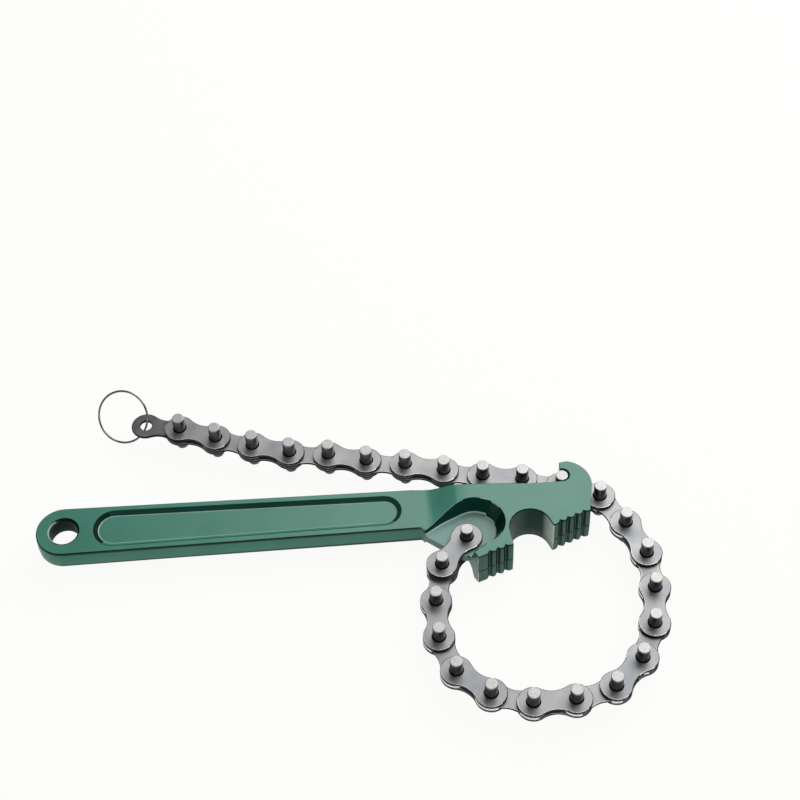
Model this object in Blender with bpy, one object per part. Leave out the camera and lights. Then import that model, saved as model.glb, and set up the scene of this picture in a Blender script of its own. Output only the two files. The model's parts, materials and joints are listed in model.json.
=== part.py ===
# Adjustable oil filter wrench: a drop-forged handle and head with a roller-less
# three-plate chain. Units are metres, +Z is up, and the wrench lies flat.
# Plan positions are measured from the pivot pin that carries the chain's first link,
# with +X towards the hook and the handle running along -X.

import math

import bmesh
import bpy
import numpy as np
from mathutils import Vector

# Chain sizes
PITCH = 0.015875
PIN_RADIUS = 0.00245
PIN_LENGTH = 0.0176
PIN_CHAMFER = 0.00035
PLATE_THICKNESS = 0.0012
PLATE_GAP = 0.0003
PLATE_HEAD_RADIUS = 0.00615
PLATE_WAIST = 0.0080
TURNING_CLEARANCE = 0.0003
RIVET_CLEARANCE = 0.00015
SPACER_RADIUS = 0.0045
END_PITCH = 0.0146
END_HEAD_RADIUS = 0.0060
END_HOLE_RADIUS = 0.0024

# How many links lie in the loop before the hooked pin, and how many hang free after it
LOOP_LINKS = 15
TAIL_LINKS = 11

# How the chain lies: the share of the bend that each pin of the loop takes, and the
# way each link of the free end points, in degrees
LOOP_BENDS = (29, 12.5, 20, 29.5, 22.5, 19, 14.5, 29, 21, 16, 12, 19.5, 9.5, 34.5)
LOOP_START = -132.0
TAIL_DIRECTIONS = (164, 169, 166, 164.5, 169, 164.5, 171.5, 162, 161.5, 158.5, 166)

# Pull ring
RING_RADIUS = 0.0108
RING_WIRE_RADIUS = 0.00045
RING_YAW = -13.0
RING_DIP = -6.0
RING_ROLL = -48.0

# Handle
HANDLE_AXIS_Y = 0.01397
HANDLE_END_X = -0.1583
HANDLE_END_HALF_WIDTH = 0.01080
HANDLE_NECK_X = -0.0200
HANDLE_NECK_HALF_WIDTH = 0.00915
HANDLE_THICKNESS = 0.0088
HANG_HOLE_RADIUS = 0.0056
HANG_HOLE_CHAMFER = 0.0007
PANEL_LEFT_X = -0.1465
PANEL_RIGHT_X = -0.0248
PANEL_RIM = 0.0023
PANEL_DEPTH = 0.0013
PANEL_WALL_RUN = 0.0020
EDGE_ROUNDING = 0.0009

# Head
HEAD_THICKNESS = 0.0182
RAMP_START_X = -0.0155
RAMP_END_X = -0.0005
RAMP_STEPS = 5
TOP_EDGE = ((0.0005, 0.02126), (0.0255, 0.01976))
HOOK_SEAT = (0.03963, 0.02242)
HOOK_CLEARANCE = 0.00055
HOOK_MOUTH_X = 0.0374
HOOK_TIP_X = 0.0391
HOOK_TIP_CORNER = 0.0005
HOOK_BACK_CENTRE = (0.03964, 0.01801)
HOOK_BACK_ROOM = 0.002145
HOOK_TIP_ANGLE = 77.0

# Toothed jaws either side of the half-round notch
JAW_NOSE = (0.0489, 0.0048)
JAW_INNER = (0.0338, -0.0011)
JAW_LOWER_INNER = (0.0175, -0.0087)
JAW_HEEL = (0.0035, -0.0138)
JAW_HEEL_FLAT = 0.0034
JAW_INNER_FLAT = 0.0016
TOOTH_PITCH = 0.0034
TOOTH_DEPTH = 0.0012
TOOTH_MARGIN = 0.0002
PARTING_RIDGE = 0.0006
NOTCH_CENTRE = (0.0248, -0.0011)
NOTCH_RADIUS = 0.0083

# Web that carries the pivot pin, and the pocket in each face of the head around it
WEB_THICKNESS = 0.0040
WEB_LUG_RADIUS = 0.0081
WEB_CORNER = (-0.0156, 0.0019)
NECK_CORNER = (-0.0165, 0.0036)
NECK_CORNER_RUN = 0.0011
POCKET_ROUND = (0.00477, 0.00294)
POCKET_ROUND_RADIUS = 0.0070
POCKET_LUG_RADIUS = 0.0069
POCKET_ROUND_RUN = 0.0035
POCKET_WALL_RUN = 0.0023
POCKET_WALL_STEPS = 3
POCKET_WALL = ((-0.0200, -0.0002), (-0.01625, 0.0023), (-0.0099, 0.00655), (-0.0048, 0.00915),
               (0.00025, 0.0114), (0.0043, 0.01185), (0.00825, 0.01065))
POCKET_MOUTH = ((0.0075, 0.0030), (0.0014, -0.0088), (-0.0090, -0.0160), (-0.0200, -0.0160))

# Slot between the two hook ears, where the chain passes
SLOT_CLEARANCE = 0.0005
SLOT_TOP = (0.0195, 0.0220)
SLOT_CORNER = (0.0293, 0.0063)
SLOT_NOSE = (0.0510, 0.0090)
SLOT_CORNER_RADIUS = 0.0020

# How far a cutter stands past the face that it opens
CUT_PAST = 0.0010

# Facets of round shapes
PIN_SIDES = 12
HEAD_ARC_STEPS = 10
WAIST_ARC_STEPS = 4
HOLE_SIDES = 32
END_ARC_STEPS = 20
NOTCH_STEPS = 20
HOOK_STEPS = 12
TOOTH_STEPS = 8
RING_STEPS = 28
WIRE_SIDES = 8

# Sizes that follow from those above; the nose's back keeps clear of the loop's next pin
HOOK_BACK_RADIUS = PITCH - PIN_RADIUS - HOOK_BACK_ROOM
INNER_TOP = PLATE_THICKNESS / 2
OUTER_LOW = INNER_TOP + PLATE_GAP
OUTER_HIGH = OUTER_LOW + PLATE_THICKNESS
PIVOT_LOW = WEB_THICKNESS / 2 + PLATE_GAP
PIVOT_HIGH = PIVOT_LOW + PLATE_THICKNESS
PIN_END = PIN_LENGTH / 2
SLOT_HALF = OUTER_HIGH + SLOT_CLEARANCE
SEAT_RADIUS = PIN_RADIUS + HOOK_CLEARANCE
PIN_HOLE_RADIUS = PIN_RADIUS + TURNING_CLEARANCE
RIVET_HOLE_RADIUS = PIN_RADIUS + RIVET_CLEARANCE


def arc(centre, radius, start, end, steps):
    """Points on a circle from one angle to another, in degrees, both ends included."""
    turns = [math.radians(start + (end - start) * i / steps) for i in range(steps + 1)]
    return [(centre[0] + radius * math.cos(t), centre[1] + radius * math.sin(t)) for t in turns]


def circle(centre, radius, sides):
    return arc(centre, radius, 0.0, 360.0, sides)[:-1]


def angle_of(centre, point):
    return math.degrees(math.atan2(point[1] - centre[1], point[0] - centre[0]))


def tangent_angle(point, centre, radius, side):
    """Angle on a circle where a line from the point touches it; side is +1 or -1."""
    gap = math.dist(point, centre)
    return angle_of(centre, point) + side * math.degrees(math.acos(radius / gap))


def toothed_line(start, end, first, last):
    """Straight edge with round-backed ridges, valleys between, over part of its length."""
    start, end = Vector(start), Vector(end)
    along = (end - start).normalized()
    inward = Vector((-along.y, along.x))
    count = int((last - first) / TOOTH_PITCH)
    points = [tuple(start)]
    for i in range(count * TOOTH_STEPS + 1):
        depth = TOOTH_DEPTH * (1 - abs(math.cos(math.pi * i / TOOTH_STEPS)))
        at = start + along * (first + TOOTH_PITCH * i / TOOTH_STEPS) + inward * depth
        points.append(tuple(at))
    points.append(tuple(end))
    return points


def smooth_line(points, steps):
    """Curve that passes through all the points, each span of it drawn in a few steps."""
    points = [Vector(point) for point in points]
    padded = [2 * points[0] - points[1]] + points + [2 * points[-1] - points[-2]]
    line = []
    for before, start, end, after in zip(padded, padded[1:], padded[2:], padded[3:]):
        for i in range(steps):
            t = i / steps
            bend = (2 * before - 5 * start + 4 * end - after) * t * t
            twist = (3 * start - before - 3 * end + after) * t ** 3
            line.append(tuple(start + ((end - before) * t + bend + twist) / 2))
    return line + [tuple(points[-1])]


def offset_outline(points, distance):
    """Convex outline, clockwise, moved outward by a distance."""
    moved = []
    for i, here in enumerate(points):
        before, after = Vector(points[i - 1]), Vector(points[(i + 1) % len(points)])
        here = Vector(here)
        first = (here - before).normalized()
        second = (after - here).normalized()
        normal = Vector((-first.y - second.y, first.x + second.x)).normalized()
        moved.append(tuple(here + normal * distance / normal.dot(Vector((-first.y, first.x)))))
    return moved


def ring_of_verts(bm, points, z):
    return [bm.verts.new((x, y, z)) for x, y in points]


def bridge(bm, lower, upper):
    for i in range(len(lower)):
        j = (i + 1) % len(lower)
        bm.faces.new((lower[i], lower[j], upper[j], upper[i]))


def fill(bm, rings):
    """Flat face inside the first ring and outside the others."""
    edges = []
    for ring in rings:
        for i, vert in enumerate(ring):
            other = ring[(i + 1) % len(ring)]
            edges.append(bm.edges.get((vert, other)) or bm.edges.new((vert, other)))
    bmesh.ops.triangle_fill(bm, edges=edges, use_beauty=True, use_dissolve=False)


def loft(bm, sections):
    """Closed solid through outlines given as (points, z), capped at both ends."""
    rings = [ring_of_verts(bm, points, z) for points, z in sections]
    for lower, upper in zip(rings, rings[1:]):
        bridge(bm, lower, upper)
    fill(bm, [rings[0]])
    fill(bm, [rings[-1]])


def finish_mesh(bm, name):
    bmesh.ops.recalc_face_normals(bm, faces=bm.faces)
    mesh = bpy.data.meshes.new(name)
    bm.to_mesh(mesh)
    bm.free()
    mesh.shade_smooth()
    mesh.set_sharp_from_angle(angle=math.radians(32))
    return mesh


def new_material(name, colour, roughness, metallic):
    material = bpy.data.materials.new(name)
    material.use_nodes = True
    shader = material.node_tree.nodes["Principled BSDF"]
    shader.inputs["Base Color"].default_value = (*colour, 1.0)
    shader.inputs["Roughness"].default_value = roughness
    shader.inputs["Metallic"].default_value = metallic
    return material


def add_object(name, mesh, material, parent):
    obj = bpy.data.objects.new(name, mesh)
    bpy.context.collection.objects.link(obj)
    if material and not mesh.materials:
        mesh.materials.append(material)
    obj.parent = parent
    return obj


def add_pivot(name, parent, location, degrees):
    """Empty on a joint's axis; what turns on the joint is parented to it."""
    empty = bpy.data.objects.new(name, None)
    empty.empty_display_size = PITCH / 2
    bpy.context.collection.objects.link(empty)
    empty.parent = parent
    empty.location = location
    empty.rotation_euler = (0.0, 0.0, math.radians(degrees))
    return empty


def add_cutter(target, bm, name, solver="EXACT"):
    cutter = add_object(name, finish_mesh(bm, name), None, target)
    cutter.hide_render = True
    cutter.display_type = "WIRE"
    cut = target.modifiers.new(name, "BOOLEAN")
    cut.operation = "DIFFERENCE"
    cut.solver = solver
    cut.object = cutter


# Chain plates

def plate_outline(first_radius, last_radius, pitch):
    """Figure-of-eight plate: a head round each pin, joined by two hollow waist arcs."""
    half = PLATE_WAIST / 2
    centres = ((0.0, 0.0), (pitch, 0.0))
    radii = (first_radius, last_radius)
    mean = sum(radii) / 2
    hollow = ((pitch / 2) ** 2 + half ** 2 - mean ** 2) / (2 * (mean - half))
    lean = math.degrees(math.atan2(half + hollow, pitch / 2))
    points = []
    for end, turn in ((1, 180.0), (0, 0.0)):
        points += arc(centres[end], radii[end], lean + turn - 360.0, turn - lean, HEAD_ARC_STEPS)
        waist = (pitch / 2, -(half + hollow) if end == 0 else half + hollow)
        middle = 90.0 if end == 0 else 270.0
        reach = 90.0 - lean
        points += arc(waist, hollow, middle + reach, middle - reach, WAIST_ARC_STEPS)[1:-1]
    return points


def plate_mesh(name, low, high, holes, end_radius=PLATE_HEAD_RADIUS):
    """Flat plate with a hole for each pin; holes are (x, radius), the last one at the far head."""
    bm = bmesh.new()
    outline = plate_outline(PLATE_HEAD_RADIUS, end_radius, holes[-1][0])
    caps = []
    for z in (low, high):
        rings = [ring_of_verts(bm, outline, z)]
        rings += [ring_of_verts(bm, circle((x, 0.0), radius, PIN_SIDES), z) for x, radius in holes]
        fill(bm, rings)
        caps.append(rings)
    for lower, upper in zip(*caps):
        bridge(bm, lower, upper)
    return finish_mesh(bm, name)


def pinned_plate_mesh(name, low, high):
    """Lower side plate with the two pins riveted into it."""
    bm = bmesh.new()
    outline = plate_outline(PLATE_HEAD_RADIUS, PLATE_HEAD_RADIUS, PITCH)
    stems = ((0.0, 0.0), (PITCH, 0.0))
    caps = []
    for z in (low, high):
        rings = [ring_of_verts(bm, outline, z)]
        rings += [ring_of_verts(bm, circle(at, PIN_RADIUS, PIN_SIDES), z) for at in stems]
        fill(bm, rings)
        caps.append(rings)
    bridge(bm, caps[0][0], caps[1][0])
    for side, rings in ((-1, caps[0]), (1, caps[1])):
        for at, ring in zip(stems, rings[1:]):
            shank = ring_of_verts(bm, circle(at, PIN_RADIUS, PIN_SIDES), side * (PIN_END - PIN_CHAMFER))
            tip = ring_of_verts(bm, circle(at, PIN_RADIUS - PIN_CHAMFER, PIN_SIDES), side * PIN_END)
            bridge(bm, ring, shank)
            bridge(bm, shank, tip)
            fill(bm, [tip])
    return finish_mesh(bm, name)


def spacer_mesh(name):
    bm = bmesh.new()
    low, high = OUTER_LOW, PIVOT_LOW - PLATE_GAP
    rings = [[ring_of_verts(bm, circle((0.0, 0.0), radius, PIN_SIDES * 2), z)
              for radius in (SPACER_RADIUS, PIN_HOLE_RADIUS)] for z in (low, high)]
    for level in rings:
        fill(bm, level)
    for lower, upper in zip(*rings):
        bridge(bm, lower, upper)
    return finish_mesh(bm, name)


# The way the loop closes: pin 0 is in the web, the last pin of the loop is in the hook

def loop_end(start, factor):
    direction, at = start, Vector((0.0, 0.0))
    for bend in (0.0,) + LOOP_BENDS:
        direction += bend * factor
        turn = math.radians(direction)
        at += PITCH * Vector((math.cos(turn), math.sin(turn)))
    return np.array(at)


def loop_directions():
    """Link directions, with the first direction and the bend set so the loop closes."""
    guess = np.array((LOOP_START, 1.0))
    for _ in range(30):
        miss = loop_end(*guess) - np.array(HOOK_SEAT)
        step = np.array((0.01, 0.0001))
        slope = np.column_stack([(loop_end(*(guess + step * axis)) - loop_end(*guess)) / step.dot(axis)
                                 for axis in np.eye(2)])
        guess = guess - np.linalg.solve(slope, miss)
    directions = [guess[0]]
    for bend in LOOP_BENDS:
        directions.append(directions[-1] + bend * guess[1])
    return directions


# Forged body

def handle_half_width(x):
    share = (x - HANDLE_END_X) / (HANDLE_NECK_X - HANDLE_END_X)
    return HANDLE_END_HALF_WIDTH + share * (HANDLE_NECK_HALF_WIDTH - HANDLE_END_HALF_WIDTH)


def ramp_stations():
    """Places along the ramp with the half-thickness at each: hollow at its foot, round at its top."""
    for i in range(RAMP_STEPS + 1):
        along = i / RAMP_STEPS
        share = along * along * (3 - 2 * along)
        yield (RAMP_START_X + along * (RAMP_END_X - RAMP_START_X),
               (HANDLE_THICKNESS + share * (HEAD_THICKNESS - HANDLE_THICKNESS)) / 2)


def half_thickness(x):
    return float(np.interp(x, *zip(*ramp_stations())))


def body_outline():
    """Plan outline, counter-clockwise from the round end of the handle."""
    end = (HANDLE_END_X, HANDLE_AXIS_Y)
    points = arc(end, HANDLE_END_HALF_WIDTH, 90.0, 270.0, END_ARC_STEPS)
    neck = NECK_CORNER[0] - NECK_CORNER_RUN
    points += [(neck, HANDLE_AXIS_Y - handle_half_width(neck)), NECK_CORNER, WEB_CORNER]
    lug = tangent_angle(WEB_CORNER, (0.0, 0.0), WEB_LUG_RADIUS, 1)
    points += arc((0.0, 0.0), WEB_LUG_RADIUS, lug, 270.0, HOOK_STEPS)
    length = math.dist(JAW_HEEL, JAW_LOWER_INNER)
    points += toothed_line(JAW_HEEL, JAW_LOWER_INNER, JAW_HEEL_FLAT, length - TOOTH_MARGIN)
    left = tangent_angle(JAW_LOWER_INNER, NOTCH_CENTRE, NOTCH_RADIUS, -1)
    right = tangent_angle(JAW_INNER, NOTCH_CENTRE, NOTCH_RADIUS, 1)
    points += arc(NOTCH_CENTRE, NOTCH_RADIUS, left % 360.0, right % 360.0, NOTCH_STEPS)
    length = math.dist(JAW_INNER, JAW_NOSE)
    points += toothed_line(JAW_INNER, JAW_NOSE, JAW_INNER_FLAT, length - TOOTH_MARGIN)
    points += arc(HOOK_BACK_CENTRE, HOOK_BACK_RADIUS, 0.0, HOOK_TIP_ANGLE, HOOK_STEPS)
    points.append((HOOK_TIP_X, points[-1][1] - HOOK_TIP_CORNER))
    points.append((HOOK_TIP_X, HOOK_SEAT[1] + SEAT_RADIUS))
    points += arc(HOOK_SEAT, SEAT_RADIUS, 90.0, -90.0, HOOK_STEPS)
    points.append((HOOK_MOUTH_X, HOOK_SEAT[1] - SEAT_RADIUS))
    points += TOP_EDGE[::-1]
    points.append((HANDLE_NECK_X, HANDLE_AXIS_Y + HANDLE_NECK_HALF_WIDTH))
    return points


def body_blank():
    """Outline given its thickness: thin handle, ramp, thick head, with rounded long edges."""
    bm = bmesh.new()
    bm.faces.new(ring_of_verts(bm, body_outline(), 0.0))
    for x, _ in ramp_stations():
        geometry = bm.verts[:] + bm.edges[:] + bm.faces[:]
        bmesh.ops.bisect_plane(bm, geom=geometry, plane_co=(x, 0.0, 0.0), plane_no=(1.0, 0.0, 0.0))
    raised = bmesh.ops.extrude_face_region(bm, geom=bm.faces[:])["geom"]
    for vert in bm.verts:
        vert.co.z = -half_thickness(vert.co.x)
    for vert in (item for item in raised if isinstance(item, bmesh.types.BMVert)):
        vert.co.z = half_thickness(vert.co.x)
    geometry = bm.verts[:] + bm.edges[:] + bm.faces[:]
    parted = bmesh.ops.bisect_plane(bm, geom=geometry, plane_co=(0.0, 0.0, 0.0), plane_no=(0.0, 0.0, 1.0))
    for vert in (item for item in parted["geom_cut"] if isinstance(item, bmesh.types.BMVert)):
        vert.co.y += parting_ridge(vert.co)
    bmesh.ops.recalc_face_normals(bm, faces=bm.faces)
    walls = {face for face in bm.faces if abs(face.normal.z) < 0.5}
    rims = [edge for edge in bm.edges
            if sum(face in walls for face in edge.link_faces) == 1 and on_rounded_edge(edge)]
    bmesh.ops.bevel(bm, geom=rims, offset=EDGE_ROUNDING, offset_type="OFFSET", segments=2,
                    profile=0.5, affect="EDGES", clamp_overlap=True)
    return bm


def parting_ridge(point):
    """How far the middle of the thickness stands out sideways, where the two dies met.
    The web and the hook have none, so that the chain keeps clear of them."""
    if point.y < HANDLE_AXIS_Y:
        on_web = NECK_CORNER[0] - NECK_CORNER_RUN < point.x < JAW_HEEL[0]
        return 0.0 if on_web else -PARTING_RIDGE
    return PARTING_RIDGE if point.x < TOP_EDGE[1][0] else 0.0


def on_rounded_edge(edge):
    """Handle and the head's top edge are rounded; jaws, hook and web are left square."""
    middle = (edge.verts[0].co + edge.verts[1].co) / 2
    handle = middle.x < NECK_CORNER[0] - NECK_CORNER_RUN
    top = middle.x < TOP_EDGE[1][0] and middle.y > HANDLE_AXIS_Y
    return handle or top


def panel_outline(inset):
    """Recess in the handle's face, a long shape with round ends that tapers as the handle does."""
    left = handle_half_width(PANEL_LEFT_X) - PANEL_RIM
    right = handle_half_width(PANEL_RIGHT_X) - PANEL_RIM
    points = arc((PANEL_LEFT_X + left, HANDLE_AXIS_Y), left - inset, 90.0, 270.0, END_ARC_STEPS)
    points += arc((PANEL_RIGHT_X - right, HANDLE_AXIS_Y), right - inset, -90.0, 90.0, END_ARC_STEPS)
    return points


def add_panels(body):
    bm = bmesh.new()
    slope = PANEL_WALL_RUN / PANEL_DEPTH
    for side in (-1, 1):
        face = HANDLE_THICKNESS / 2
        loft(bm, [(panel_outline(PANEL_WALL_RUN), side * (face - PANEL_DEPTH)),
                  (panel_outline(-slope * CUT_PAST), side * (face + CUT_PAST))])
    add_cutter(body, bm, "cut_panels")


def add_hang_hole(body):
    bm = bmesh.new()
    centre = (HANDLE_END_X, HANDLE_AXIS_Y)
    face = HANDLE_THICKNESS / 2
    wide = HANG_HOLE_RADIUS + HANG_HOLE_CHAMFER + CUT_PAST
    sections = []
    for z, radius in ((-face - CUT_PAST, wide), (-face + HANG_HOLE_CHAMFER, HANG_HOLE_RADIUS),
                      (face - HANG_HOLE_CHAMFER, HANG_HOLE_RADIUS), (face + CUT_PAST, wide)):
        sections.append((circle(centre, radius, HOLE_SIDES), z))
    loft(bm, sections)
    add_cutter(body, bm, "cut_hang_hole")


def add_pockets(body):
    """Drafted pocket in both faces: a round, a wider round about the pin, and an open side."""
    floor, face = WEB_THICKNESS / 2, HEAD_THICKNESS / 2
    top = face + CUT_PAST
    spread = (top - floor) / (face - floor)
    side_wall = smooth_line(POCKET_WALL, POCKET_WALL_STEPS) + list(POCKET_MOUTH)
    shapes = {
        "cut_pocket_round": lambda out: circle(
            POCKET_ROUND, POCKET_ROUND_RADIUS + out * POCKET_ROUND_RUN, HOLE_SIDES),
        "cut_pocket_lug": lambda out: circle(
            (0.0, 0.0), POCKET_LUG_RADIUS + out * POCKET_ROUND_RUN, HOLE_SIDES),
        "cut_pocket_side": lambda out: offset_outline(side_wall, out * POCKET_WALL_RUN),
    }
    for name, outline in shapes.items():
        bm = bmesh.new()
        for side in (-1, 1):
            loft(bm, [(outline(0.0), side * floor), (outline(spread), side * top)])
        # The three share one floor plane, which the exact solver loses
        add_cutter(body, bm, name, "MANIFOLD")


def add_pivot_hole(body):
    bm = bmesh.new()
    reach = WEB_THICKNESS / 2 + CUT_PAST
    hole = circle((0.0, 0.0), PIN_HOLE_RADIUS, HOLE_SIDES)
    loft(bm, [(hole, -reach), (hole, reach)])
    add_cutter(body, bm, "cut_pivot_hole")


def add_chain_slot(body):
    """Slot that parts the nose into two ears."""
    corner, top, nose = Vector(SLOT_CORNER), Vector(SLOT_TOP), Vector(SLOT_NOSE)
    up, out = (top - corner).normalized(), (nose - corner).normalized()
    half = math.acos(up.dot(out)) / 2
    centre = corner + (up + out).normalized() * SLOT_CORNER_RADIUS / math.sin(half)
    start = angle_of(centre, corner + up * SLOT_CORNER_RADIUS / math.tan(half))
    end = angle_of(centre, corner + out * SLOT_CORNER_RADIUS / math.tan(half))
    reach = 3 * HOOK_BACK_RADIUS
    high = HOOK_BACK_CENTRE[1] + reach
    points = [tuple(top + up * reach)]
    points += arc(centre, SLOT_CORNER_RADIUS, start % 360.0, end % 360.0, 4)
    points += [tuple(nose + out * reach), (nose.x + reach, high), (top.x - reach, high)]
    bm = bmesh.new()
    loft(bm, [(points, -SLOT_HALF), (points, SLOT_HALF)])
    add_cutter(body, bm, "cut_chain_slot")


def add_body(parent, material):
    body = add_object("wrench_body", finish_mesh(body_blank(), "wrench_body"), material, parent)
    add_panels(body)
    add_hang_hole(body)
    add_pockets(body)
    add_chain_slot(body)
    add_pivot_hole(body)


# Assembly

def add_chain(wrench, steel, bright, washer_steel, end_steel):
    both = ((0.0, RIVET_HOLE_RADIUS), (PITCH, RIVET_HOLE_RADIUS))
    turning = ((0.0, PIN_HOLE_RADIUS), (PITCH, PIN_HOLE_RADIUS))
    pinned = pinned_plate_mesh("pinned_plate", -OUTER_HIGH, -OUTER_LOW)
    cover = plate_mesh("cover_plate", OUTER_LOW, OUTER_HIGH, both)
    pivot_pinned = pinned_plate_mesh("pivot_pinned_plate", -PIVOT_HIGH, -PIVOT_LOW)
    pivot_cover = plate_mesh("pivot_cover_plate", PIVOT_LOW, PIVOT_HIGH, both)
    inner = plate_mesh("inner_plate", -INNER_TOP, INNER_TOP, turning)
    washer = spacer_mesh("spacer")
    end_holes = ((0.0, PIN_HOLE_RADIUS), (END_PITCH, END_HOLE_RADIUS))
    end_plate = plate_mesh("end_plate", -INNER_TOP, INNER_TOP, end_holes, END_HEAD_RADIUS)

    def add_link(number, pivot):
        name = f"link_{number:02d}"
        if number == LOOP_LINKS + TAIL_LINKS:
            add_object("end_link_plate", end_plate, end_steel, pivot)
        elif number % 2 == 0:
            add_object(name + "_inner_plate", inner, steel, pivot)
        else:
            first = number == 1
            add_object(name + "_pinned_plate", pivot_pinned if first else pinned, bright, pivot)
            add_object(name + "_cover_plate", pivot_cover if first else cover, steel, pivot)
            for side in ((-1, 1) if first else ()):
                spacer = add_object("spacer_upper" if side > 0 else "spacer_lower",
                                    washer, washer_steel, pivot)
                spacer.location = (PITCH, 0.0, 0.0)
                spacer.rotation_euler = (0.0 if side > 0 else math.pi, 0.0, 0.0)

    directions = loop_directions()
    opened = LOOP_LINKS // 2 + 1
    pivot, heading = wrench, 0.0
    for number in range(1, opened + 1):
        at = (0.0, 0.0, 0.0) if number == 1 else (PITCH, 0.0, 0.0)
        pivot = add_pivot(f"pivot_{number:02d}", pivot, at, directions[number - 1] - heading)
        heading = directions[number - 1]
        add_link(number, pivot)
    pivot, heading = wrench, 0.0
    for number in range(LOOP_LINKS, opened, -1):
        at = (*HOOK_SEAT, 0.0) if number == LOOP_LINKS else (PITCH, 0.0, 0.0)
        backward = directions[number - 1] + 180.0
        pivot = add_pivot(f"pivot_{number:02d}", pivot, at, backward - heading)
        heading = backward
        add_link(number, pivot)
    pivot, heading = wrench, 0.0
    for step, direction in enumerate(TAIL_DIRECTIONS[:TAIL_LINKS]):
        number = LOOP_LINKS + 1 + step
        at = (*HOOK_SEAT, 0.0) if step == 0 else (PITCH, 0.0, 0.0)
        pivot = add_pivot(f"pivot_{number:02d}", pivot, at, direction - heading)
        heading = direction
        add_link(number, pivot)
    return pivot


def add_ring(end_pivot, material):
    """Closed wire ring through the hole of the end link, leaning towards the ground."""
    hinge = add_pivot("pivot_ring", end_pivot, (END_PITCH, 0.0, 0.0), 0.0)
    hinge.rotation_euler = [math.radians(turn) for turn in (RING_ROLL, RING_DIP, RING_YAW)]
    bm = bmesh.new()
    rings = []
    for i in range(RING_STEPS):
        turn = 2 * math.pi * i / RING_STEPS
        ring = []
        for out, z in circle((RING_RADIUS, 0.0), RING_WIRE_RADIUS, WIRE_SIDES):
            ring.append(bm.verts.new((RING_RADIUS + out * math.cos(turn), out * math.sin(turn), z)))
        rings.append(ring)
    for i, ring in enumerate(rings):
        bridge(bm, ring, rings[(i + 1) % RING_STEPS])
    add_object("pull_ring", finish_mesh(bm, "pull_ring"), material, hinge)


def stand_on_ground(wrench):
    """Moves the whole wrench so the origin is under the middle of its box, at its lowest point."""
    bpy.context.view_layer.update()
    corners = np.array([obj.matrix_world @ vert.co for obj in bpy.data.objects
                        if obj.type == "MESH" and not obj.hide_render for vert in obj.data.vertices])
    low, high = corners.min(axis=0), corners.max(axis=0)
    middle = (low + high) / 2
    wrench.location = (-middle[0], -middle[1], -low[2])


def main():
    for obj in list(bpy.data.objects):
        bpy.data.objects.remove(obj, do_unlink=True)
    paint = new_material("green_paint", (0.045, 0.19, 0.13), 0.38, 0.0)
    steel = new_material("plate_steel", (0.30, 0.34, 0.37), 0.38, 1.0)
    bright = new_material("pin_steel", (0.48, 0.49, 0.50), 0.28, 1.0)
    washer_steel = new_material("spacer_steel", (0.12, 0.12, 0.13), 0.5, 1.0)
    end_steel = new_material("end_plate_steel", (0.16, 0.18, 0.20), 0.4, 1.0)
    wire = new_material("ring_wire", (0.60, 0.60, 0.58), 0.25, 1.0)

    wrench = add_pivot("wrench", None, (0.0, 0.0, 0.0), 0.0)
    add_body(wrench, paint)
    end_pivot = add_chain(wrench, steel, bright, washer_steel, end_steel)
    add_ring(end_pivot, wire)
    stand_on_ground(wrench)


main()
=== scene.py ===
import json
import math

import bpy
from mathutils import Euler, Matrix, Vector


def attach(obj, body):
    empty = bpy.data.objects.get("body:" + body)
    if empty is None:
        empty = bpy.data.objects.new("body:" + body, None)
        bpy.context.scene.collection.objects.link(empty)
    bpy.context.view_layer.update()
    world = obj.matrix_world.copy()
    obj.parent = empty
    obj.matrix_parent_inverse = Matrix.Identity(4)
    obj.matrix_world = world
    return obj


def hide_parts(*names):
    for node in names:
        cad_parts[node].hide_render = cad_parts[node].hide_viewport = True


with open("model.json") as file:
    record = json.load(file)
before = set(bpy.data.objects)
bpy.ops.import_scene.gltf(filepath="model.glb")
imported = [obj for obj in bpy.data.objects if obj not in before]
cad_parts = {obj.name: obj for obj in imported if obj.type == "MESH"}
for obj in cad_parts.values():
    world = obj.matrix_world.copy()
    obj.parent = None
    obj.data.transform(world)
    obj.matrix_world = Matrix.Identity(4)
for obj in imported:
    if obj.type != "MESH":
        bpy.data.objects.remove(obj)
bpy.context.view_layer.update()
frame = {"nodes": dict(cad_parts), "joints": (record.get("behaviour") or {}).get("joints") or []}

# Camera and studio: a lens of 82 mm looks down on the wrench at 52 degrees. The floor is a
# plain pale board. One large soft box hangs behind the wrench, over towards its nose, and a
# narrow strip in front draws a thin light line along the rims.
camera = bpy.data.objects.new("camera", bpy.data.cameras.new("camera"))
bpy.context.collection.objects.link(camera)
camera.data.lens = 81.88
camera.data.sensor_width = 36.0
camera.data.clip_start = 0.01
camera.location = (0.014485, -0.394308, 0.60624)
camera.rotation_euler = [math.radians(turn) for turn in (37.9601, 1.6543, -3.3491)]
bpy.context.scene.camera = camera
bpy.context.scene.view_settings.view_transform = "Standard"

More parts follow.
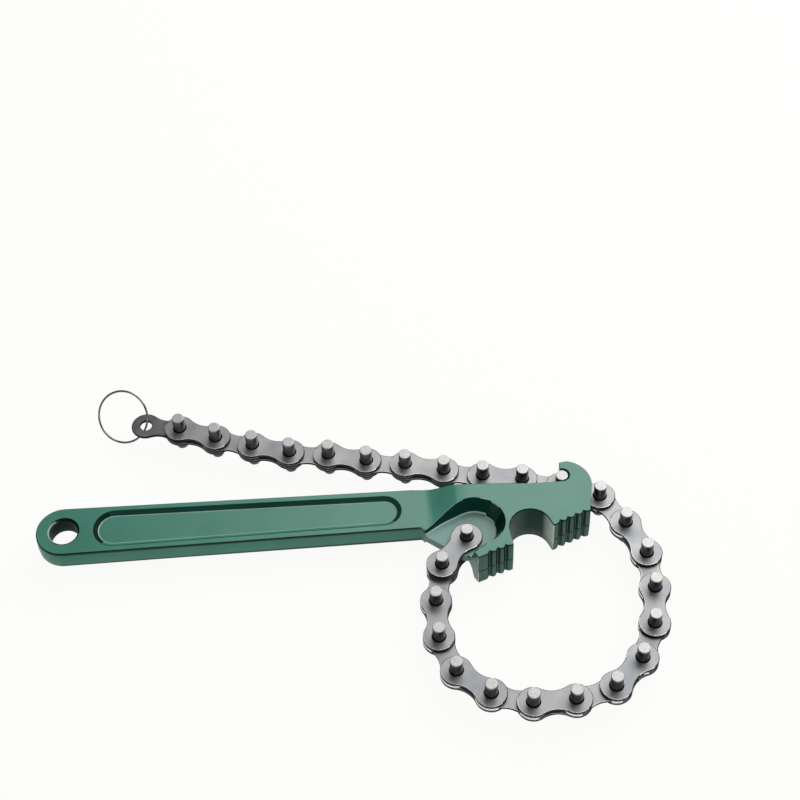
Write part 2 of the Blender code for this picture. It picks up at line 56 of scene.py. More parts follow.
bpy.ops.mesh.primitive_plane_add(size=6.0, location=(0.0, 0.0, -0.0002))
floor = bpy.context.object
floor.name = "floor"
board = bpy.data.materials.new("pale_board")
board.use_nodes = True
nodes, links = board.node_tree.nodes, board.node_tree.links
board_shader = nodes["Principled BSDF"]
board_shader.inputs["Base Color"].default_value = (0.85, 0.85, 0.835, 1.0)
board_shader.inputs["Roughness"].default_value = 0.9
glow = nodes.new("ShaderNodeEmission")
glow.inputs["Color"].default_value = (1.0, 1.0, 0.985, 1.0)
seen = nodes.new("ShaderNodeLightPath")
either = nodes.new("ShaderNodeMath")
either.operation = "MAXIMUM"
links.new(seen.outputs["Is Camera Ray"], either.inputs[0])
links.new(seen.outputs["Is Glossy Ray"], either.inputs[1])
share = nodes.new("ShaderNodeMath")
share.operation = "MULTIPLY"
share.inputs[1].default_value = 0.94
links.new(either.outputs[0], share.inputs[0])
blend = nodes.new("ShaderNodeMixShader")
links.new(share.outputs[0], blend.inputs["Fac"])
links.new(board_shader.outputs[0], blend.inputs[1])
links.new(glow.outputs[0], blend.inputs[2])
links.new(blend.outputs[0], nodes["Material Output"].inputs["Surface"])
floor.data.materials.append(board)

world = bpy.data.worlds.new("studio")
world.use_nodes = True
bpy.context.scene.world = world
nodes, links = world.node_tree.nodes, world.node_tree.links
room = nodes["Background"]
room.inputs["Color"].default_value = (0.97, 0.98, 1.0, 1.0)
room.inputs["Strength"].default_value = 0.26
white = nodes.new("ShaderNodeBackground")
white.inputs["Color"].default_value = (1.0, 1.0, 0.985, 1.0)
seen = nodes.new("ShaderNodeLightPath")
choose = nodes.new("ShaderNodeMixShader")
links.new(seen.outputs["Is Camera Ray"], choose.inputs["Fac"])
links.new(room.outputs[0], choose.inputs[1])
links.new(white.outputs[0], choose.inputs[2])
links.new(choose.outputs[0], nodes["World Output"].inputs["Surface"])

lamp = bpy.data.objects.new("soft_box", bpy.data.lights.new("soft_box", "AREA"))
bpy.context.collection.objects.link(lamp)
lamp.data.shape = "RECTANGLE"
lamp.data.size = 0.98
lamp.data.size_y = 0.80
lamp.data.energy = 8.6
lamp.location = (0.40, 0.47, 0.65)
lamp.rotation_euler = (-lamp.location).to_track_quat("-Z", "Y").to_euler()

strip = bpy.data.objects.new("front_strip", bpy.data.lights.new("front_strip", "AREA"))
bpy.context.collection.objects.link(strip)
strip.data.shape = "RECTANGLE"
strip.data.size = 1.2
strip.data.size_y = 0.14
strip.data.energy = 2.4
strip.location = (0.05, -1.16, 0.77)
strip.rotation_euler = (-strip.location).to_track_quat("-Z", "Y").to_euler()

# Forging: handle and head are one drop-forged piece of steel, dip painted a satin green. Light and
# shade are painted onto it: highlights along the foot of the recesses, on the rims of the pocket and on
# the heel by the first link, and shade in the recesses, in the tooth valleys and along the outer rims.
bpy.ops.object.select_all(action="DESELECT")
forging = frame["nodes"]["wrench_body"].copy()
forging.data = forging.data.copy()
forging.name = "painted_forging"
forging.parent = None
for key in list(forging.keys()):
    del forging[key]
bpy.context.collection.objects.link(forging)
bpy.context.view_layer.objects.active = forging
forging.select_set(True)
bpy.ops.object.mode_set(mode="EDIT")
bpy.ops.mesh.select_all(action="SELECT")
bpy.ops.mesh.remove_doubles(threshold=0.00001)
bpy.ops.mesh.dissolve_limited(angle_limit=math.radians(1.0))

# The ramp runs out into the head in a smooth curve: the crease is cut into eight strips, which
# are drawn down to a parabola over 4 mm each way.
pivot = Vector(next(joint["pos_m"] for joint in frame["joints"] if joint["name"] == "hinge_01"))
RAMP_END = pivot.x - 0.0005
RAMP_SLOPE = 0.163
BLEND = 0.0040
RAMP_LAND = 0.0082
for step in range(-4, 5):
    bpy.ops.mesh.select_all(action="SELECT")
    bpy.ops.mesh.bisect(plane_co=(RAMP_END + step * BLEND / 4, 0.0, 0.0), plane_no=(1.0, 0.0, 0.0))
bpy.ops.mesh.select_all(action="SELECT")
bpy.ops.mesh.remove_doubles(threshold=0.00001)
bpy.ops.object.mode_set(mode="OBJECT")
for vert in forging.data.vertices:
    away, up = abs(vert.co.x - RAMP_END), vert.co.z - pivot.z
    if away < BLEND and abs(up) > RAMP_LAND and vert.co.y > pivot.y:
        vert.co.z -= math.copysign(RAMP_SLOPE * (BLEND - away) ** 2 / (4 * BLEND), up)
bpy.ops.object.mode_set(mode="EDIT")
bpy.ops.mesh.select_all(action="SELECT")
bpy.ops.mesh.dissolve_limited(angle_limit=math.radians(0.3))
bpy.ops.object.mode_set(mode="OBJECT")
bpy.ops.object.shade_smooth()

# The rims are rounded, and the few rounded corners that run astray are drawn back to the piece.
rounding = forging.modifiers.new("rim rounding", "BEVEL")
rounding.limit_method = "ANGLE"
rounding.angle_limit = math.radians(28.0)
rounding.width = 0.00030
rounding.segments = 3
rounding.use_clamp_overlap = False
bpy.ops.object.modifier_apply(modifier="rim rounding")
ASTRAY = 0.0002
for vert in forging.data.vertices:
    found, nearest = frame["nodes"]["wrench_body"].closest_point_on_mesh(vert.co)[:2]
    if found and (vert.co - nearest).length > ASTRAY:
        vert.co = nearest
evened = forging.modifiers.new("even shading", "WEIGHTED_NORMAL")
evened.weight = 80
evened.keep_sharp = False
bpy.ops.object.modifier_apply(modifier="even shading")


def forging_paint(name, thick, thin, rough, grain_depth):
    """Satin enamel over the forged skin: slow cloudy changes of tone, and a fine orange peel."""
    paint = bpy.data.materials.new(name)
    paint.use_nodes = True
    nodes, links = paint.node_tree.nodes, paint.node_tree.links
    skin = nodes["Principled BSDF"]
    skin.inputs["IOR"].default_value = 1.5
    where = nodes.new("ShaderNodeTexCoord")
    cloud = nodes.new("ShaderNodeTexNoise")
    cloud.inputs["Scale"].default_value = 60.0
    cloud.inputs["Detail"].default_value = 5.0
    links.new(where.outputs["Object"], cloud.inputs["Vector"])
    tone = nodes.new("ShaderNodeValToRGB")
    tone.color_ramp.elements[0].position = 0.32
    tone.color_ramp.elements[0].color = (*thick, 1.0)
    tone.color_ramp.elements[1].position = 0.70
    tone.color_ramp.elements[1].color = (*thin, 1.0)
    links.new(cloud.outputs["Fac"], tone.inputs["Fac"])
    links.new(tone.outputs["Color"], skin.inputs["Base Color"])
    dull = nodes.new("ShaderNodeMapRange")
    dull.inputs["To Min"].default_value = rough - 0.05
    dull.inputs["To Max"].default_value = rough + 0.05
    links.new(cloud.outputs["Fac"], dull.inputs["Value"])
    links.new(dull.outputs["Result"], skin.inputs["Roughness"])
    grain = nodes.new("ShaderNodeTexNoise")
    grain.inputs["Scale"].default_value = 1400.0
    grain.inputs["Detail"].default_value = 3.0
    links.new(where.outputs["Object"], grain.inputs["Vector"])
    relief = nodes.new("ShaderNodeBump")
    relief.inputs["Strength"].default_value = grain_depth
    relief.inputs["Distance"].default_value = 0.00006
    links.new(grain.outputs["Fac"], relief.inputs["Height"])
    links.new(relief.outputs["Normal"], skin.inputs["Normal"])
    return paint


# Besides the plain green, these finishes paint light and shade: shade in recesses, valleys, on ridges
# and rims; highlights on foot lines, rims and heel; lighter copies on the web and side wall.
finishes = [
    forging_paint("green_forging_paint", (0.038, 0.190, 0.132), (0.054, 0.225, 0.160), 0.32, 0.12),
    forging_paint("recess_painted_shade_and_glint", (0.002, 0.038, 0.026), (0.004, 0.055, 0.038), 0.30, 0.12),
    forging_paint("jaw_ridge_painted_shade", (0.030, 0.120, 0.082), (0.045, 0.150, 0.105), 0.42, 0.30),
    forging_paint("foot_and_rim_painted_highlight", (0.22, 0.36, 0.31), (0.32, 0.46, 0.41), 0.30, 0.12),
    forging_paint("web_painted_sheen", (0.105, 0.255, 0.210), (0.130, 0.290, 0.245), 0.32, 0.12),
    forging_paint("tooth_valley_painted_shade", (0.001, 0.012, 0.008), (0.004, 0.026, 0.018), 0.50, 0.30),
    forging_paint("notch_painted_shade_and_light", (0.010, 0.070, 0.045), (0.020, 0.100, 0.068), 0.40, 0.30),
    forging_paint("side_wall_painted_light", (0.050, 0.235, 0.160), (0.066, 0.270, 0.185), 0.36, 0.30),
    forging_paint("rim_painted_shade", (0.000, 0.014, 0.008), (0.002, 0.026, 0.017), 0.50, 0.12),
    forging_paint("heel_painted_highlight", (0.66, 0.78, 0.72), (0.80, 0.90, 0.85), 0.38, 0.30),
]
GREEN, RECESS_SHADE_AND_GLINT, RIDGE_SHADE, RIM_GLINT, WEB_SHEEN, VALLEY_SHADE, NOTCH_SHADE_AND_LIGHT, SIDE_LIT, RIM_SHADE, HEEL_GLINT = range(10)
finishes[HEEL_GLINT].node_tree.nodes["Principled BSDF"].inputs["Metallic"].default_value = 1.0
for which, gloss in ((RECESS_SHADE_AND_GLINT, 0.20), (RIDGE_SHADE, 0.20), (SIDE_LIT, 0.20),
                     (VALLEY_SHADE, 0.06), (NOTCH_SHADE_AND_LIGHT, 0.06), (RIM_SHADE, 0.06)):
    skin = finishes[which].node_tree.nodes["Principled BSDF"]
    skin.inputs["Specular IOR Level"].default_value = gloss
forging.data.materials.clear()
for finish in finishes:
    forging.data.materials.append(finish)

# Round the notch the colour goes from a grey green at the left jaw, over painted shade at the crown, to
# a bright painted highlight at the right jaw.
NOTCH_LEFT, NOTCH_RIGHT = 0.0160, 0.0340
nodes, links = finishes[NOTCH_SHADE_AND_LIGHT].node_tree.nodes, finishes[NOTCH_SHADE_AND_LIGHT].node_tree.links
where = nodes["Texture Coordinate"]
place = nodes.new("ShaderNodeSeparateXYZ")
links.new(where.outputs["Object"], place.inputs["Vector"])
across = nodes.new("ShaderNodeMapRange")
across.inputs["From Min"].default_value = pivot.x + NOTCH_LEFT
across.inputs["From Max"].default_value = pivot.x + NOTCH_RIGHT
links.new(place.outputs["X"], across.inputs["Value"])
flank = nodes.new("ShaderNodeValToRGB")
flank.color_ramp.elements[0].color = (0.10, 0.15, 0.125, 1.0)
flank.color_ramp.elements[1].color = (0.82, 0.92, 0.82, 1.0)
for position, colour in ((0.28, (0.06, 0.10, 0.085, 1.0)), (0.50, (0.012, 0.050, 0.036, 1.0)),
                         (0.79, (0.012, 0.050, 0.036, 1.0)), (0.89, (0.50, 0.60, 0.53, 1.0))):
    flank.color_ramp.elements.new(position).color = colour
links.new(across.outputs["Result"], flank.inputs["Fac"])
links.new(flank.outputs["Color"], nodes["Principled BSDF"].inputs["Base Color"])


HEAD_HEIGHT = 18.2


def level_bands(which, colour, bands):
    """Second colour laid over a finish by height in mm: painted shade along the die seam and rims,
    painted highlights along the foot lines.

    Each band is a height above the wrench's lowest point and how much of the colour covers there.
    """
    nodes, links = finishes[which].node_tree.nodes, finishes[which].node_tree.links
    skin = nodes["Principled BSDF"].inputs["Base Color"]
    place = nodes.new("ShaderNodeSeparateXYZ")
    links.new(nodes["Texture Coordinate"].outputs["Object"], place.inputs["Vector"])
    up = nodes.new("ShaderNodeMapRange")
    up.inputs["From Max"].default_value = HEAD_HEIGHT / 1000.0
    links.new(place.outputs["Z"], up.inputs["Value"])
    band = nodes.new("ShaderNodeValToRGB")
    band.color_ramp.elements.remove(band.color_ramp.elements[1])
    steps = band.color_ramp.elements
    for number, (height, cover) in enumerate(bands):
        step = steps[0] if number == 0 else steps.new(height / HEAD_HEIGHT)
        step.position = height / HEAD_HEIGHT
        step.color = (cover, cover, cover, 1.0)
    links.new(up.outputs["Result"], band.inputs["Fac"])
    over = nodes.new("ShaderNodeMix")
    over.data_type = "RGBA"
    links.new(band.outputs["Color"], over.inputs["Factor"])
    links.new(skin.links[0].from_socket, over.inputs["A"])
    over.inputs["B"].default_value = (*colour, 1.0)
    links.new(over.outputs["Result"], skin)


# Painted shade on the ridges: dark lines along the bottom rim, under the die seam and along the top
# rim.
level_bands(RIDGE_SHADE, (0.0, 0.008, 0.004),
            ((0.4, 0.9), (0.7, 0.0), (7.7, 0.0), (8.1, 1.0), (9.0, 1.0), (9.3, 0.0),
             (17.2, 0.0), (17.5, 0.95)))
# Painted light on the lower half of the tooth valleys.
level_bands(VALLEY_SHADE, (0.030, 0.100, 0.070), ((0.4, 0.0), (0.8, 0.8), (7.6, 0.6), (8.3, 0.0)))
# Painted highlight low on the notch wall, and painted shade along its bottom and top rims.
level_bands(NOTCH_SHADE_AND_LIGHT, (0.17, 0.22, 0.19), ((0.7, 0.6), (6.0, 0.0)))
level_bands(NOTCH_SHADE_AND_LIGHT, (0.0, 0.010, 0.006), ((0.3, 0.9), (0.7, 0.0), (17.3, 0.0), (17.6, 0.9)))
# Painted shade over the heel's painted highlight: along its bottom and top rims and across its middle.
level_bands(HEEL_GLINT, (0.020, 0.090, 0.062),
            ((0.3, 0.9), (0.8, 0.0), (6.5, 0.0), (8.8, 0.9), (13.0, 0.8), (15.0, 0.0),
             (17.3, 0.0), (17.6, 0.9)))
# Painted shade along the bottom and top rims of the near side wall.
level_bands(SIDE_LIT, (0.0, 0.012, 0.007), ((5.6, 0.9), (6.1, 0.0), (12.1, 0.0), (12.6, 0.95)))
# Painted highlights along the feet of the recess walls, over the painted shade of the recesses.
level_bands(RECESS_SHADE_AND_GLINT, (0.72, 0.92, 0.84),
            ((6.3, 0.0), (6.5, 0.9), (7.1, 0.9), (7.2, 0.0), (11.0, 0.0), (11.1, 0.9),
             (11.7, 0.9), (11.9, 0.0)))

# Each face gets its finish by its place from the first pin, in mm, and by how level it lies: 1 is
# a level face and 0 an upright one.
HANDLE_MIDDLE = 13.97
HANG_HOLE_X = -158.3
for face in forging.data.polygons:
    x, y, z = (1000.0 * value for value in face.center - pivot)
    side, level = abs(y - HANDLE_MIDDLE), abs(face.normal.z)
    face.material_index = GREEN
    if -148.0 < x < -23.0 and side < 8.9 and 0.50 < level < 0.985:
        # walls and foot line of the handle's sunk panel: a painted highlight on the foot line, painted
        # shade on the walls
        if abs(z) < 3.25:
            face.material_index = RIM_GLINT if abs(face.normal.y) < 0.6 else GREEN
        elif face.normal.y < 0.45:
            face.material_index = RIM_SHADE if face.normal.x > 0.2 else RECESS_SHADE_AND_GLINT
    elif -20.5 < x < 13.0 and y < 13.5 and 2.03 < abs(z) < 9.0 and 0.15 < level < 0.975:
        # walls of the pocket round the first pin: painted shade on the steep walls, a painted highlight
        # on the foot line and the sloped faces
        if level < 0.60:
            face.material_index = RECESS_SHADE_AND_GLINT
        elif abs(z) < 2.3 or level < 0.93:
            face.material_index = RIM_GLINT
    elif -20.5 < x < 13.0 and -8.0 < y < 13.5 and 0.22 < level < 0.975:
        # rim of the pocket, with a painted highlight
        face.material_index = RIM_GLINT
    elif abs(z) < 2.1 and level > 0.975:
        # web that carries the first pin, in a lighter copy of the paint as a painted sheen
        face.material_index = WEB_SHEEN
    elif 15.5 < x < 34.2 and -8.6 < y < 16.0 and level < 0.15:
        # half-round notch between the jaws, with painted shade and light across it
        face.material_index = NOTCH_SHADE_AND_LIGHT
    elif x > 3.0 and y < 5.0 and level < 0.15:
        # toothed jaws: a painted highlight on the heel, painted shade in the valleys, a shaded copy of
        # the paint on the ridges
        if face.normal.x < -0.50:
            face.material_index = HEEL_GLINT
        elif face.normal.x > 0.74 or -0.48 < face.normal.x < -0.34:
            face.material_index = VALLEY_SHADE
        else:
            face.material_index = RIDGE_SHADE
    elif x < -150.0 and math.hypot(x - HANG_HOLE_X, side) < 6.8 and level < 0.95:
        # bore of the hanging hole and its chamfer: painted shade in the bore and on most of the
        # chamfer, a painted highlight where it faces +X
        if level < 0.22:
            face.material_index = VALLEY_SHADE
        else:
            face.material_index = RIM_GLINT if face.normal.x > 0.4 else RIM_SHADE
    elif 24.0 < x < 35.0 and y > 19.0 and 3.2 < abs(z) < 8.0:
        # wall behind the head, where the handle's rounding ends
        face.material_index = GREEN
    elif 0.22 < level < 0.86:
        # outer rims, painted dark as shade
        face.material_index = RIM_SHADE
    elif x < -15.0 and face.normal.y < -0.3 and level <= 0.22:
        # near side wall of the handle, in a lighter copy of the paint that stands in for light
        face.material_index = SIDE_LIT
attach(forging, "wrench")
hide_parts("wrench_body")

# Chain plates: blanked from 1.2 mm strip steel, a head round each pin and a hollow waist. The rolled
# faces are a satin grey, the sheared edges are painted dark as shade.
PITCH = 0.015875
THICK = 0.0012
HEAD = 0.00615
WAIST = 0.0040
PIN = 0.00245
TURNING_PLAY = 0.0003
RIVET_PLAY = 0.00015
MIDDLE = 0.0091


def cylinder(name, radius, depth, place, sides=64):
    bpy.ops.object.select_all(action="DESELECT")
    bpy.ops.mesh.primitive_cylinder_add(vertices=sides, radius=radius, depth=depth, location=place)
    bpy.context.object.name = name
    return bpy.context.object


def shape_with(piece, tool, operation):
    change = piece.modifiers.new(operation.lower(), "BOOLEAN")
    change.operation = operation
    change.solver = "EXACT"
    change.object = tool
    bpy.ops.object.select_all(action="DESELECT")
    bpy.context.view_layer.objects.active = piece
    piece.select_set(True)
    bpy.ops.object.modifier_apply(modifier=change.name)
    bpy.data.objects.remove(tool, do_unlink=True)


def blank_plate(name, far_head, holes):
    """Figure-of-eight plate from the first pin at the origin to the next along +X."""
    mean = (HEAD + far_head) / 2
    reach = holes[-1][0]
    hollow = ((reach / 2) ** 2 + WAIST ** 2 - mean ** 2) / (2 * (mean - WAIST))
    lean = math.atan2(WAIST + hollow, reach / 2)
    plate = cylinder(name, HEAD, THICK, (0, 0, 0), 72)
    shape_with(plate, cylinder("far head", far_head, THICK, (reach, 0, 0), 72), "UNION")
    bpy.ops.mesh.primitive_cube_add(size=1, location=(reach / 2, 0, 0))
    waist = bpy.context.object
    bpy.ops.object.mode_set(mode="EDIT")
    bpy.ops.mesh.select_all(action="SELECT")
    least = min(HEAD, far_head)
    length, width = reach - 2 * least * math.cos(lean), 2 * least * math.sin(lean)
    bpy.ops.transform.resize(value=(length, width, THICK))
    bpy.ops.object.mode_set(mode="OBJECT")
    shape_with(plate, waist, "UNION")
    for side in (-1, 1):
        place = (reach / 2, side * (WAIST + hollow), 0)
        shape_with(plate, cylinder("hollow", hollow, 2 * THICK, place, 128), "DIFFERENCE")
    for x, radius in holes:
        shape_with(plate, cylinder("hole", radius, 2 * THICK, (x, 0, 0)), "DIFFERENCE")
    bpy.ops.object.mode_set(mode="EDIT")
    bpy.ops.mesh.select_all(action="SELECT")
    bpy.ops.mesh.remove_doubles(threshold=0.00001)
    bpy.ops.mesh.dissolve_limited(angle_limit=math.radians(0.5))
    bpy.ops.object.mode_set(mode="OBJECT")
    bpy.ops.object.shade_smooth()
    rim = plate.modifiers.new("sheared rim", "BEVEL")
    rim.limit_method = "ANGLE"
    rim.angle_limit = math.radians(50.0)
    rim.width = 0.00027
    rim.segments = 2
    rim.use_clamp_overlap = False
    bpy.ops.object.modifier_apply(modifier="sheared rim")
    evened = plate.modifiers.new("even shading", "WEIGHTED_NORMAL")
    evened.weight = 80
    bpy.ops.object.modifier_apply(modifier="even shading")
    return plate


def steel(name, dark, light, rough, spots, scratch):
    """Bare steel with slow cloudy change of tone and fine rolling marks."""
    metal = bpy.data.materials.new(name)
    metal.use_nodes = True
    nodes, links = metal.node_tree.nodes, metal.node_tree.links
    skin = nodes["Principled BSDF"]
    skin.inputs["Metallic"].default_value = 1.0
    where = nodes.new("ShaderNodeTexCoord")
    cloud = nodes.new("ShaderNodeTexNoise")
    cloud.inputs["Scale"].default_value = spots
    cloud.inputs["Detail"].default_value = 5.0
    links.new(where.outputs["Object"], cloud.inputs["Vector"])
    tone = nodes.new("ShaderNodeValToRGB")
    tone.color_ramp.elements[0].position = 0.32
    tone.color_ramp.elements[0].color = (*dark, 1.0)
    tone.color_ramp.elements[1].position = 0.68
    tone.color_ramp.elements[1].color = (*light, 1.0)
    links.new(cloud.outputs["Fac"], tone.inputs["Fac"])
    links.new(tone.outputs["Color"], skin.inputs["Base Color"])
    dull = nodes.new("ShaderNodeMapRange")
    dull.inputs["To Min"].default_value = rough - 0.06
    dull.inputs["To Max"].default_value = rough + 0.06
    links.new(cloud.outputs["Fac"], dull.inputs["Value"])
    links.new(dull.outputs["Result"], skin.inputs["Roughness"])
    marks = nodes.new("ShaderNodeTexNoise")
    marks.inputs["Scale"].default_value = 1800.0
    marks.inputs["Detail"].default_value = 2.0
    links.new(where.outputs["Object"], marks.inputs["Vector"])
    relief = nodes.new("ShaderNodeBump")
    relief.inputs["Strength"].default_value = scratch
    relief.inputs["Distance"].default_value = 0.00003
    links.new(marks.outputs["Fac"], relief.inputs["Height"])
    links.new(relief.outputs["Normal"], skin.inputs["Normal"])
    return metal


rolled = steel("rolled_plate_steel", (0.215, 0.224, 0.240), (0.345, 0.338, 0.328), 0.50, 85.0, 0.12)
# The sheared edges are painted dark as shade, and the rims get a painted highlight.
sheared = steel("sheared_edge_painted_shade", (0.006, 0.006, 0.007), (0.022, 0.022, 0.023), 0.50, 700.0, 0.3)
sheared.node_tree.nodes["Principled BSDF"].inputs["Metallic"].default_value = 0.0
sheared.node_tree.nodes["Principled BSDF"].inputs["Specular IOR Level"].default_value = 0.12
rim_highlight = steel("rim_painted_highlight_steel", (0.70, 0.70, 0.70), (0.88, 0.88, 0.87), 0.32, 700.0, 0.2)


def give_edges(piece, face_metal, edge_metal, rim_metal, glint_heads=False):
    """Rolled faces, sheared edges round them in painted shade, and the upper rim between with a painted
    highlight.
    """
    piece.data.materials.clear()
    for metal in (face_metal, edge_metal, rim_metal):
        piece.data.materials.append(metal)
    for face in piece.data.polygons:
        middle, lift = face.center, face.normal.z
        out = min(math.hypot(middle.x - at, middle.y) for at in (0.0, PITCH))
        clear_of_hole = out > PIN + 0.001
        face.material_index = 0 if abs(lift) > 0.95 else 1
        if 0.5 < lift <= 0.95 and clear_of_hole:
            face.material_index = 2
        if glint_heads and abs(lift) < 0.5 and clear_of_hole and out < HEAD + 0.0001:
            face.material_index = 2


def put(pattern, name, start, turn, height, body, node):
    """Copy of a piece with its own mesh, turned and moved to its place on the chain.

    Rims on the far side and on the right side get the sheared edge's painted shade in place of the
    painted highlight.
    """
    piece = bpy.data.objects.new(name, pattern.data.copy())
    bpy.context.collection.objects.link(piece)
    piece.data.transform(Matrix.Translation((start.x, start.y, height)) @ Matrix.Rotation(turn, 4, "Z"))
    for face in piece.data.polygons:
        if face.material_index == 2 and (face.normal.y > 0.15 or face.normal.x > 0.24):
            face.material_index = 1
    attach(piece, body)
    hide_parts(node)


# Inner plates turn on the pins, outer plates are riveted to them. In the loop the edges of the inner
# plates' heads get a painted highlight, in the free end they do not.
turning_hole, rivet_hole = PIN + TURNING_PLAY, PIN + RIVET_PLAY
turning_plate = blank_plate("turning plate", HEAD, ((0.0, turning_hole), (PITCH, turning_hole)))
riveted_plate = blank_plate("riveted plate", HEAD, ((0.0, rivet_hole), (PITCH, rivet_hole)))
loop_plate = turning_plate.copy()
loop_plate.data = turning_plate.data.copy()
bpy.context.collection.objects.link(loop_plate)
give_edges(loop_plate, rolled, sheared, rim_highlight, glint_heads=True)
give_edges(turning_plate, rolled, sheared, rim_highlight)
give_edges(riveted_plate, rolled, sheared, rim_highlight)

# Places of the pins from the web, round the loop, to the free end. The ninth lies between the two
# halves of the loop, one pitch from each neighbour.
joint_at = {joint["name"]: Vector(joint["pos_m"][:2]) for joint in frame["joints"]}
pins = [joint_at[f"hinge_{k:02d}"] for k in range(1, 9)] + [None]
pins += [joint_at[f"hinge_{k:02d}"] for k in range(9, 16)]
pins += [joint_at[f"hinge_{k:02d}"] for k in range(17, 27)] + [joint_at["hinge_ring"]]
chord = pins[9] - pins[7]
rise = math.sqrt(PITCH ** 2 - (chord.length / 2) ** 2)
pins[8] = (pins[7] + pins[9]) / 2 + Vector((chord.y, -chord.x)).normalized() * rise

# Pins: hardened round bar, riveted through the two side plates of every other link. Their long ends
# stand clear of the plates. The ends are ground bright, the shanks are dark with a painted reflection
# of the plates near them.
shank_steel = steel("pin_shank_steel", (0.035, 0.035, 0.037), (0.075, 0.075, 0.08), 0.30, 400.0, 0.2)
ground_steel = steel("ground_pin_steel", (0.34, 0.336, 0.328), (0.46, 0.455, 0.447), 0.50, 900.0, 0.35)
PIN_HALF = 0.0088
FIRST_LINK_OFFSET = 0.0029
LINK_OFFSET = 0.0015

# Along the shank the tone runs from grey by the plates to dark at the end, a painted reflection of the
# plates.
nodes, links = shank_steel.node_tree.nodes, shank_steel.node_tree.links
where = nodes.new("ShaderNodeTexCoord")
parts = nodes.new("ShaderNodeSeparateXYZ")
links.new(where.outputs["Object"], parts.inputs["Vector"])
from_middle = nodes.new("ShaderNodeMath")
from_middle.operation = "SUBTRACT"
from_middle.inputs[1].default_value = MIDDLE
links.new(parts.outputs["Z"], from_middle.inputs[0])
away = nodes.new("ShaderNodeMath")
away.operation = "ABSOLUTE"
links.new(from_middle.outputs[0], away.inputs[0])
reach = nodes.new("ShaderNodeMapRange")
reach.inputs["From Min"].default_value = 0.0020
reach.inputs["From Max"].default_value = 0.0070
links.new(away.outputs[0], reach.inputs["Value"])
painted_plate_reflection = nodes.new("ShaderNodeValToRGB")
painted_plate_reflection.color_ramp.elements[0].color = (0.27, 0.27, 0.27, 1.0)
painted_plate_reflection.color_ramp.elements[1].color = (0.080, 0.080, 0.081, 1.0)
links.new(reach.outputs["Result"], painted_plate_reflection.inputs["Fac"])
links.new(painted_plate_reflection.outputs["Color"], nodes["Principled BSDF"].inputs["Base Color"])
nodes.remove(nodes["Color Ramp"])

pin = cylinder("pin", PIN, 2 * PIN_HALF, (0, 0, 0), 48)
bpy.ops.object.shade_smooth()
chamfer = pin.modifiers.new("ground chamfer", "BEVEL")
chamfer.limit_method = "ANGLE"
chamfer.angle_limit = math.radians(50.0)
chamfer.width = 0.00030
chamfer.segments = 2
bpy.ops.object.modifier_apply(modifier="ground chamfer")
evened = pin.modifiers.new("even shading", "WEIGHTED_NORMAL")
bpy.ops.object.modifier_apply(modifier="even shading")
pin.data.materials.append(shank_steel)
pin.data.materials.append(ground_steel)
for face in pin.data.polygons:
    face.material_index = 1 if abs(face.center.z) > PIN_HALF - 0.0004 else 0

for number in range(1, 26):
    start, end = pins[number - 1], pins[number]
    if 8 < number < 16:
        start, end = end, start
    turn = math.atan2(end.y - start.y, end.x - start.x)
    body, name = f"link_{number:02d}", f"link_{number:02d}"
    if number % 2 == 0:
        pattern = loop_plate if number < 16 else turning_plate
        put(pattern, name + "_plate", start, turn, MIDDLE, body, name + "_inner_plate")
        continue
    offset = FIRST_LINK_OFFSET if number == 1 else LINK_OFFSET
    put(riveted_plate, name + "_top_plate", start, turn, MIDDLE + offset, body,
        name + "_cover_plate")
    put(riveted_plate, name + "_low_plate", start, turn, MIDDLE - offset, body,
        name + "_pinned_plate")
    for letter, at in (("a", start), ("b", end)):
        put(pin, f"{name}_pin_{letter}", at, turn, MIDDLE, body, name + "_pinned_plate")
for pattern in (loop_plate, turning_plate, riveted_plate, pin):
    bpy.data.objects.remove(pattern, do_unlink=True)

# Spacers: two turned steel washers on the second pin. They fill the room between the first
# link's side plates, which straddle the web, and the single plate of the link that follows.
SPACER, SPACER_THICK, SPACER_OFFSET = 0.0045, 0.0011, 0.00145
# The washers' near-black steel is painted shade: it keeps the gap under the first link's plates dark.
spacer_steel = steel("spacer_painted_shade", (0.03, 0.03, 0.032), (0.07, 0.07, 0.072), 0.38, 500.0, 0.3)
spacer = cylinder("spacer", SPACER, SPACER_THICK, (0, 0, 0))
shape_with(spacer, cylinder("bore", turning_hole, 3 * SPACER_THICK, (0, 0, 0)), "DIFFERENCE")
bpy.ops.object.shade_smooth()
broken = spacer.modifiers.new("broken edges", "BEVEL")
broken.limit_method = "ANGLE"
broken.angle_limit = math.radians(50.0)
broken.width = 0.00012
broken.segments = 2
bpy.ops.object.modifier_apply(modifier="broken edges")
evened = spacer.modifiers.new("even shading", "WEIGHTED_NORMAL")
bpy.ops.object.modifier_apply(modifier="even shading")
spacer.data.materials.append(spacer_steel)
for name, side in (("spacer_upper", 1), ("spacer_lower", -1)):
    height = MIDDLE + side * SPACER_OFFSET
    put(spacer, name + "_washer", pins[1], 0.0, height, "link_01", name)
bpy.data.objects.remove(spacer, do_unlink=True)

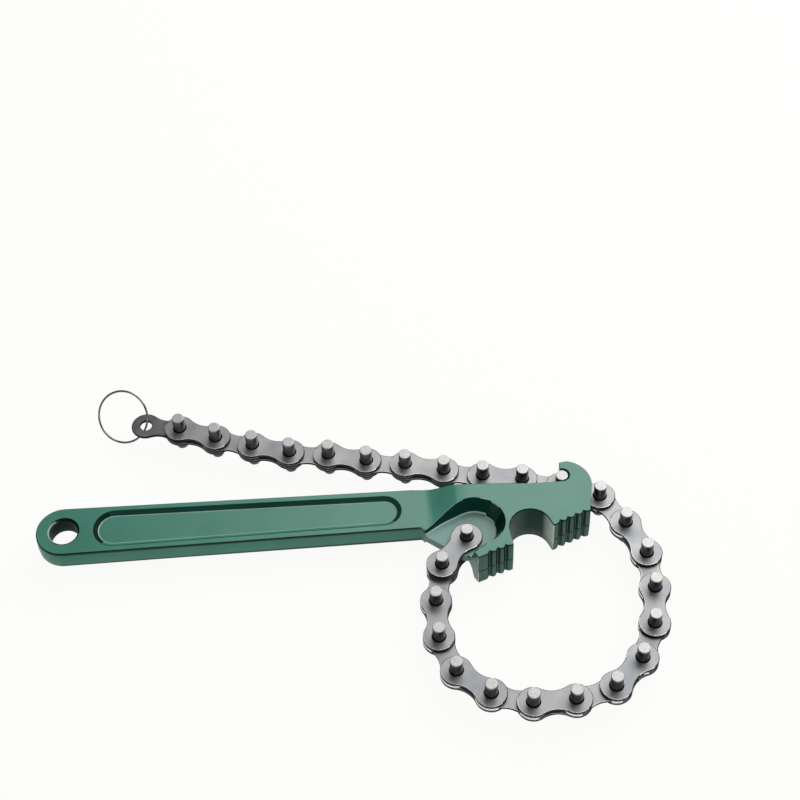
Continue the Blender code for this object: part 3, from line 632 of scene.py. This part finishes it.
# End link: one plate on the last pin, its far head a little narrower and bored for the ring.
# Blanked from the same strip steel as the chain's plates, and hardened to a darker grey.
END_PITCH = 0.0146
END_HEAD = 0.0060
END_HOLE = 0.0024
end_face = steel("hardened_end_plate", (0.10, 0.105, 0.11), (0.16, 0.165, 0.17), 0.38, 220.0, 0.2)
end_plate = blank_plate("end plate", END_HEAD, ((0.0, turning_hole), (END_PITCH, END_HOLE)))
give_edges(end_plate, end_face, sheared, sheared)
start, end = pins[25], pins[26]
heading = math.atan2(end.y - start.y, end.x - start.x)
put(end_plate, "end_plate", start, heading, MIDDLE, "link_26", "end_link_plate")
bpy.data.objects.remove(end_plate, do_unlink=True)

# Pull ring: drawn spring wire bent round and butted, threaded through the end link's hole.
# It leans on the hole's edge, so it stands askew to the chain.
RING, WIRE = 0.0108, 0.00045
ROLL, DIP, YAW = (math.radians(turn) for turn in (-48.0, -6.0, -13.0))
bpy.ops.object.select_all(action="DESELECT")
bpy.ops.mesh.primitive_torus_add(major_radius=RING, minor_radius=WIRE,
                                 major_segments=128, minor_segments=20)
ring = bpy.context.object
ring.name = "wire_pull_ring"
bpy.ops.object.mode_set(mode="EDIT")
bpy.ops.mesh.select_all(action="DESELECT")
bpy.ops.object.mode_set(mode="OBJECT")
for vert in ring.data.vertices:
    vert.select = vert.co.x > 0 and abs(vert.co.y) < 0.00001
bpy.ops.object.mode_set(mode="EDIT")
bpy.ops.transform.resize(value=(0.97, 1.0, 0.70), center_override=(RING, 0.0, 0.0))
bpy.ops.object.mode_set(mode="OBJECT")
bpy.ops.object.shade_smooth()
wire_steel = steel("drawn_ring_wire", (0.13, 0.13, 0.13), (0.34, 0.34, 0.33), 0.22, 400.0, 0.15)
ring.data.materials.append(wire_steel)
lean = Euler((ROLL, DIP, YAW)).to_matrix().to_4x4()
ring.data.transform(Matrix.Translation((end.x, end.y, MIDDLE)) @ Matrix.Rotation(heading, 4, "Z")
                    @ lean @ Matrix.Translation((RING, 0.0, 0.0)))
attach(ring, "ring")
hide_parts("pull_ring")
